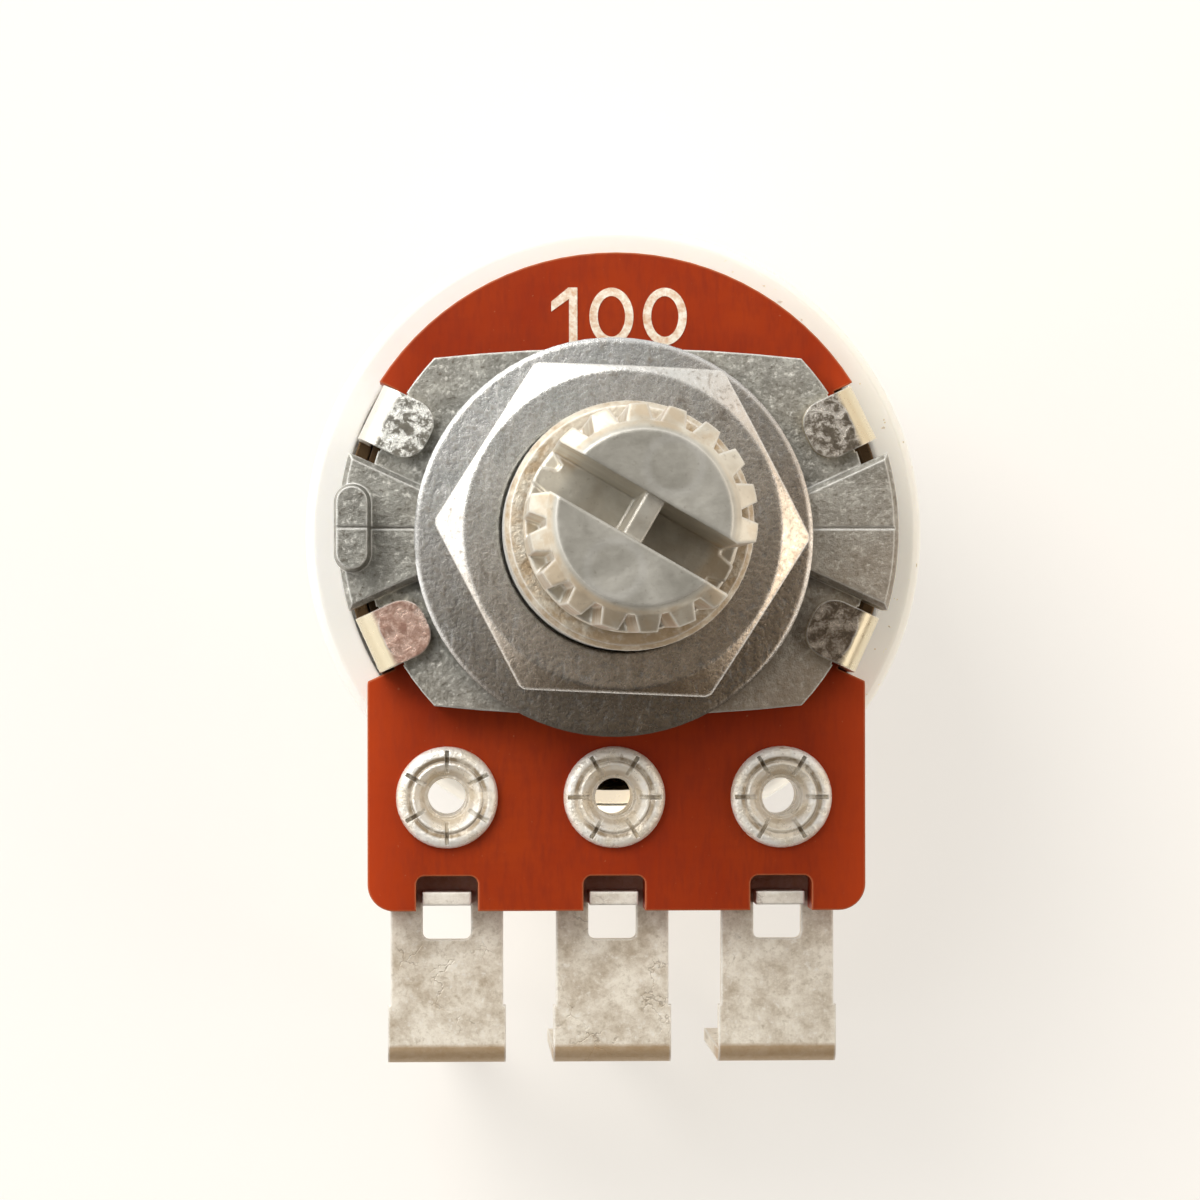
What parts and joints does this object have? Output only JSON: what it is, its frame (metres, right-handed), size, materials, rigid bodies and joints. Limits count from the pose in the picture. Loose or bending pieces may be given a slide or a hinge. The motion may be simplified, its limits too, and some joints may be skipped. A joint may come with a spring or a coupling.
{
  "type": "panel potentiometer with circuit board pins",
  "caption": "Rotary potentiometer with knurled split shaft, threaded bushing, nut and washer, riveted wafer, crimped can, right-angle pins and dust cover.",
  "frame": {"origin": "on the shaft axis, in the front face that meets the panel", "axes": "+Z along the shaft away from the body, +X right and +Y up as seen from the shaft side, terminals on -Y"},
  "size_m": [0.0186, 0.0253, 0.0288],
  "materials": {
    "zinc": "matte",
    "shaft_metal": "satin",
    "plated_steel": "bright",
    "can_steel": "satin",
    "spring_steel": "satin",
    "tinned_sheet": "satin",
    "eyelet_metal": "satin",
    "phenolic": "matte",
    "carbon": "matte",
    "silver_ink": "matte",
    "wiper_brass": "satin",
    "rotor_plastic": "matte",
    "cover_plastic": "translucent"
  },
  "bodies": {
    "body": {"bushing_plate": "zinc", "wafer": "phenolic", "carbon_track": "carbon", "collector_ring": "silver_ink", "lead_left": "silver_ink", "lead_right": "silver_ink", "terminal_left": "tinned_sheet", "terminal_middle": "tinned_sheet", "terminal_right": "tinned_sheet", "eyelet_left": "eyelet_metal", "eyelet_middle": "eyelet_metal", "eyelet_right": "eyelet_metal", "can": "can_steel", "dust_cover": "cover_plastic"},
    "shaft": {"shaft": "shaft_metal", "retaining_clip": "spring_steel", "rotor": "rotor_plastic", "wiper": "wiper_brass"},
    "washer": {"washer": "plated_steel"},
    "nut": {"nut": "plated_steel"}
  },
  "joints": [
    {"name": "shaft_turn", "type": "hinge", "parent": "body", "child": "shaft", "pos_m": [0, 0, 0], "axis": [0, 0, -1], "range_deg": [0, 300]},
    {"name": "washer_lift", "type": "slide", "parent": "body", "child": "washer", "axis": [0, 0, 1], "range_m": [0, 0.00375]},
    {"name": "nut_turn", "type": "hinge", "parent": "washer", "child": "nut", "pos_m": [0, 0, 0], "axis": [0, 0, 1], "range_deg": [0, 1800]}
  ],
  "couplings": [
    {"joint": "nut_turn", "follows": "washer_lift", "rad_per_m": 8377.5}
  ]
}
